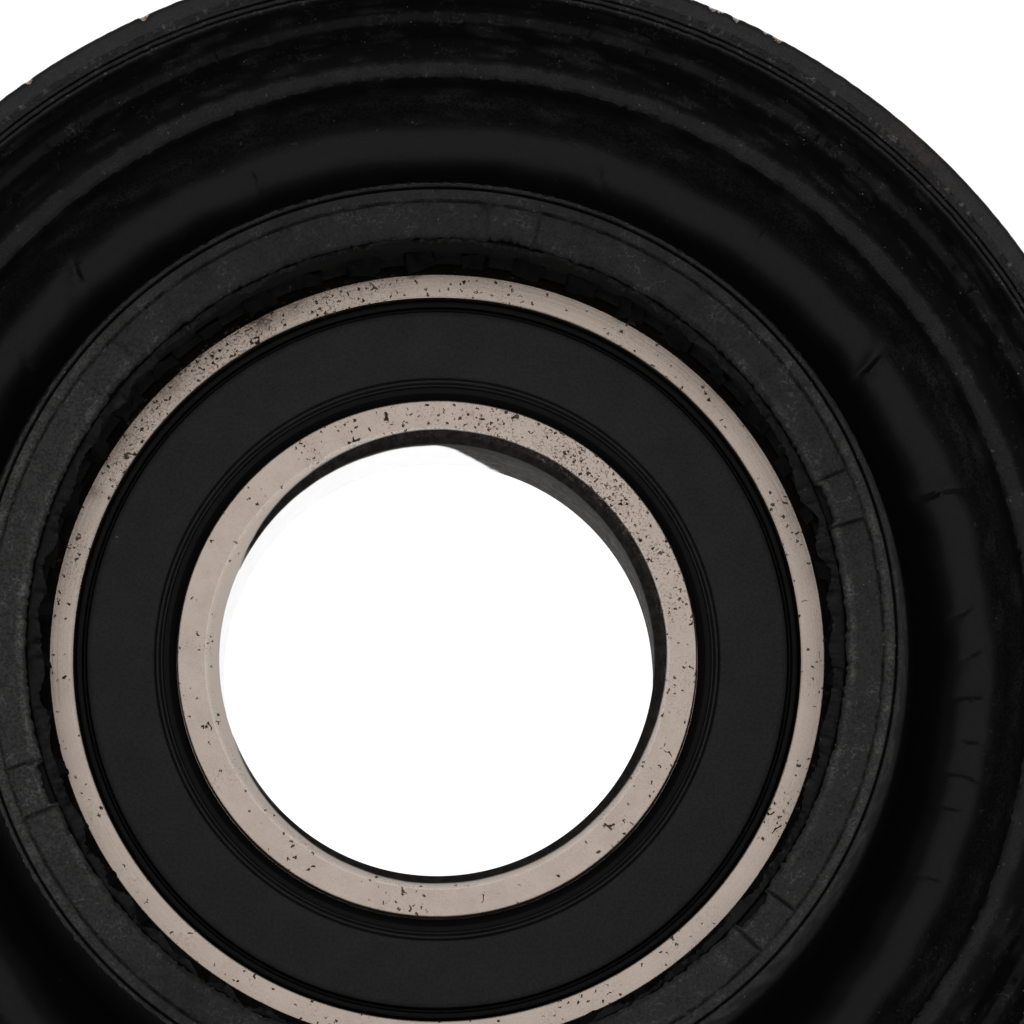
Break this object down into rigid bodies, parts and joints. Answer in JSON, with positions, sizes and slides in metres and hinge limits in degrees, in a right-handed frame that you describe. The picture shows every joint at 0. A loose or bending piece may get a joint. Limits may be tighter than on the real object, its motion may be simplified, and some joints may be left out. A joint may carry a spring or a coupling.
{
  "type": "driveshaft centre bearing",
  "caption": "Driveshaft centre bearing: a sealed ball bearing in a folded black rubber cushion with a tall lip, bonded into a round painted steel shell, open through the middle for the shaft.",
  "frame": {"origin": "centre of the bearing's bore, half way between the bearing's two faces", "axes": "+Z along the bore, out of the front with the tall rubber lip; the part lies on the rear flange of its shell"},
  "size_m": [0.1, 0.1, 0.0332],
  "materials": {
    "shell_paint": "satin black paint",
    "cushion_rubber": "moulded, matte",
    "ring_steel": "ground, satin",
    "seal_rubber": "moulded, smooth",
    "cage_steel": "pressed sheet",
    "ball_steel": "polished"
  },
  "bodies": {
    "housing": {"outer_shell": "shell_paint", "rubber_cushion": "cushion_rubber", "outer_ring": "ring_steel", "seal_front": "seal_rubber", "seal_rear": "seal_rubber"},
    "inner_ring": {"inner_ring": "ring_steel"},
    "cage": {"cage_front": "cage_steel", "cage_rear": "cage_steel", "cage_rivets": "cage_steel"},
    "ball_01": {"ball_01": "ball_steel"},
    "ball_02": {"ball_02": "ball_steel"},
    "ball_03": {"ball_03": "ball_steel"},
    "ball_04": {"ball_04": "ball_steel"},
    "ball_05": {"ball_05": "ball_steel"},
    "ball_06": {"ball_06": "ball_steel"},
    "ball_07": {"ball_07": "ball_steel"},
    "ball_08": {"ball_08": "ball_steel"},
    "ball_09": {"ball_09": "ball_steel"},
    "ball_10": {"ball_10": "ball_steel"},
    "ball_11": {"ball_11": "ball_steel"}
  },
  "joints": [
    {"name": "inner_ring_spin", "type": "hinge", "parent": "housing", "child": "inner_ring", "pos_m": [0, 0, 0], "axis": [0, 0, 1], "continuous": true},
    {"name": "cage_spin", "type": "hinge", "parent": "housing", "child": "cage", "pos_m": [0, 0, 0], "axis": [0, 0, 1], "continuous": true},
    {"name": "ball_01_spin", "type": "hinge", "parent": "cage", "child": "ball_01", "pos_m": [0.02125, 0, 0], "axis": [0, 0, 1], "continuous": true},
    {"name": "ball_02_spin", "type": "hinge", "parent": "cage", "child": "ball_02", "pos_m": [0.01788, 0.01149, 0], "axis": [0, 0, 1], "continuous": true},
    {"name": "ball_03_spin", "type": "hinge", "parent": "cage", "child": "ball_03", "pos_m": [0.00883, 0.01933, 0], "axis": [0, 0, 1], "continuous": true},
    {"name": "ball_04_spin", "type": "hinge", "parent": "cage", "child": "ball_04", "pos_m": [-0.00302, 0.02103, 0], "axis": [0, 0, 1], "continuous": true},
    {"name": "ball_05_spin", "type": "hinge", "parent": "cage", "child": "ball_05", "pos_m": [-0.01392, 0.01606, 0], "axis": [0, 0, 1], "continuous": true},
    {"name": "ball_06_spin", "type": "hinge", "parent": "cage", "child": "ball_06", "pos_m": [-0.02039, 0.00599, 0], "axis": [0, 0, 1], "continuous": true},
    {"name": "ball_07_spin", "type": "hinge", "parent": "cage", "child": "ball_07", "pos_m": [-0.02039, -0.00599, 0], "axis": [0, 0, 1], "continuous": true},
    {"name": "ball_08_spin", "type": "hinge", "parent": "cage", "child": "ball_08", "pos_m": [-0.01392, -0.01606, 0], "axis": [0, 0, 1], "continuous": true},
    {"name": "ball_09_spin", "type": "hinge", "parent": "cage", "child": "ball_09", "pos_m": [-0.00302, -0.02103, 0], "axis": [0, 0, 1], "continuous": true},
    {"name": "ball_10_spin", "type": "hinge", "parent": "cage", "child": "ball_10", "pos_m": [0.00883, -0.01933, 0], "axis": [0, 0, 1], "continuous": true},
    {"name": "ball_11_spin", "type": "hinge", "parent": "cage", "child": "ball_11", "pos_m": [0.01788, -0.01149, 0], "axis": [0, 0, 1], "continuous": true}
  ],
  "couplings": [
    {"joint": "cage_spin", "follows": "inner_ring_spin", "ratio": 0.41596},
    {"joint": "ball_01_spin", "follows": "inner_ring_spin", "ratio": -2.8906},
    {"joint": "ball_02_spin", "follows": "inner_ring_spin", "ratio": -2.8906},
    {"joint": "ball_03_spin", "follows": "inner_ring_spin", "ratio": -2.8906},
    {"joint": "ball_04_spin", "follows": "inner_ring_spin", "ratio": -2.8906},
    {"joint": "ball_05_spin", "follows": "inner_ring_spin", "ratio": -2.8906},
    {"joint": "ball_06_spin", "follows": "inner_ring_spin", "ratio": -2.8906},
    {"joint": "ball_07_spin", "follows": "inner_ring_spin", "ratio": -2.8906},
    {"joint": "ball_08_spin", "follows": "inner_ring_spin", "ratio": -2.8906},
    {"joint": "ball_09_spin", "follows": "inner_ring_spin", "ratio": -2.8906},
    {"joint": "ball_10_spin", "follows": "inner_ring_spin", "ratio": -2.8906},
    {"joint": "ball_11_spin", "follows": "inner_ring_spin", "ratio": -2.8906}
  ]
}
